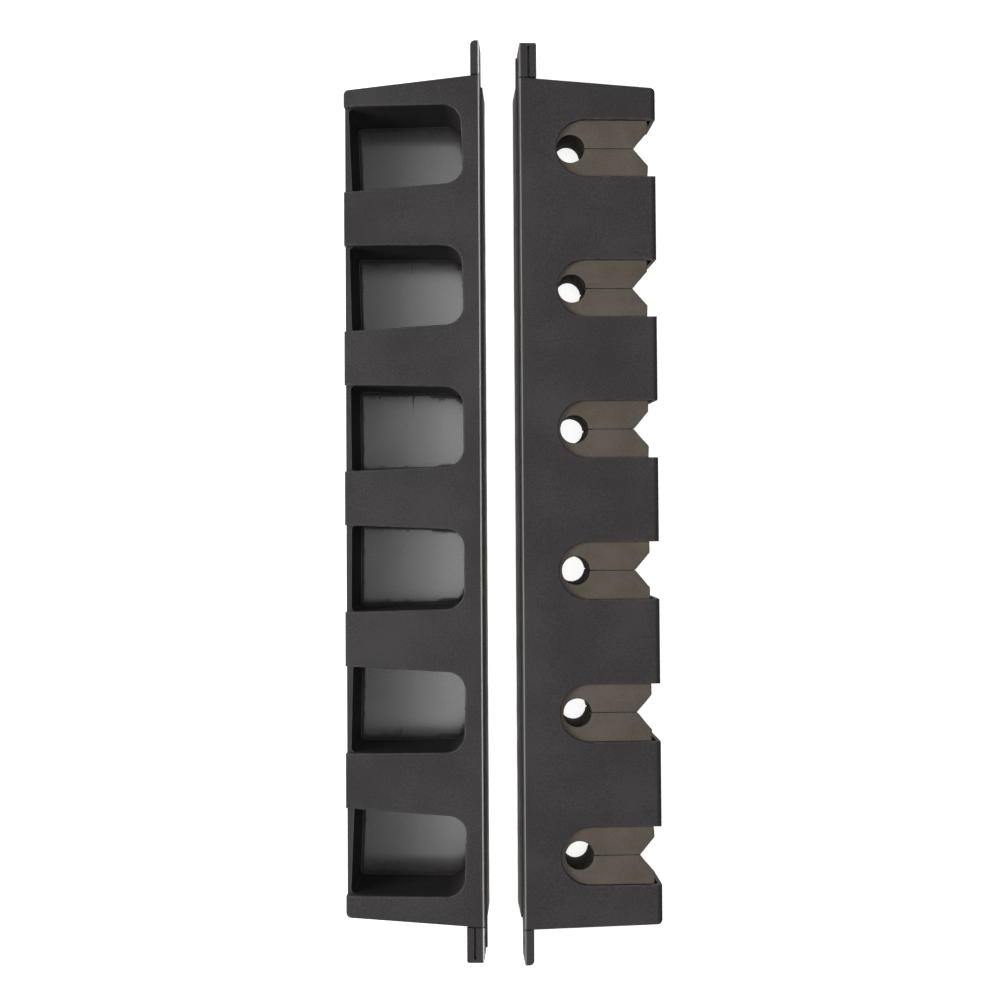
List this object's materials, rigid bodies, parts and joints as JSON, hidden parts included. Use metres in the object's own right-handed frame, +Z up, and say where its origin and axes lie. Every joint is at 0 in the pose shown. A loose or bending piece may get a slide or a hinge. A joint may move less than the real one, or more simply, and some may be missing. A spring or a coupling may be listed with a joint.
{
  "type": "wall cue rack",
  "caption": "Two-bar wall rack for billiard cues: a lower bar with open-fronted cups and an upper bar with slotted foam grips, laid side by side.",
  "frame": {"origin": "centre of the bounding box's base, midway between the two bars where they rest on the table", "axes": "+Z up from the table, +Y along both bars, -X towards the front of the cup bar and +X towards the front of the clip bar; the wall faces look at each other across the middle. Each bar rests on the foot of its wall plate and on its lower front edge, so it leans a few degrees forward"},
  "size_m": [0.1192, 0.3504, 0.0401],
  "materials": {
    "charcoal_abs": "fine-textured moulded ABS, satin",
    "grip_foam": "closed-cell EVA foam, matt",
    "floor_rubber": "grained anti-slip rubber, slightly glossy",
    "backing_rubber": "thin foam rubber strip, matt",
    "screw_steel": "zinc-plated self-tapping screws"
  },
  "bodies": {
    "cup_bar": {"cup_housing": "charcoal_abs", "cup_wall_plate": "charcoal_abs", "cup_backing_strip": "backing_rubber", "cup_plate_screws": "screw_steel", "cup_floor_pad_1": "floor_rubber", "cup_floor_pad_2": "floor_rubber", "cup_floor_pad_3": "floor_rubber", "cup_floor_pad_4": "floor_rubber", "cup_floor_pad_5": "floor_rubber", "cup_floor_pad_6": "floor_rubber"},
    "clip_bar": {"clip_housing": "charcoal_abs", "clip_wall_plate": "charcoal_abs", "clip_backing_strip": "backing_rubber", "clip_plate_screws": "screw_steel", "foam_grip": "grip_foam", "foam_retainer": "charcoal_abs", "retainer_screws": "screw_steel"}
  },
  "joints": [
    {"name": "bars_apart", "type": "slide", "parent": "cup_bar", "child": "clip_bar", "axis": [1, 0, 0], "range_m": [0, 0.15]}
  ]
}
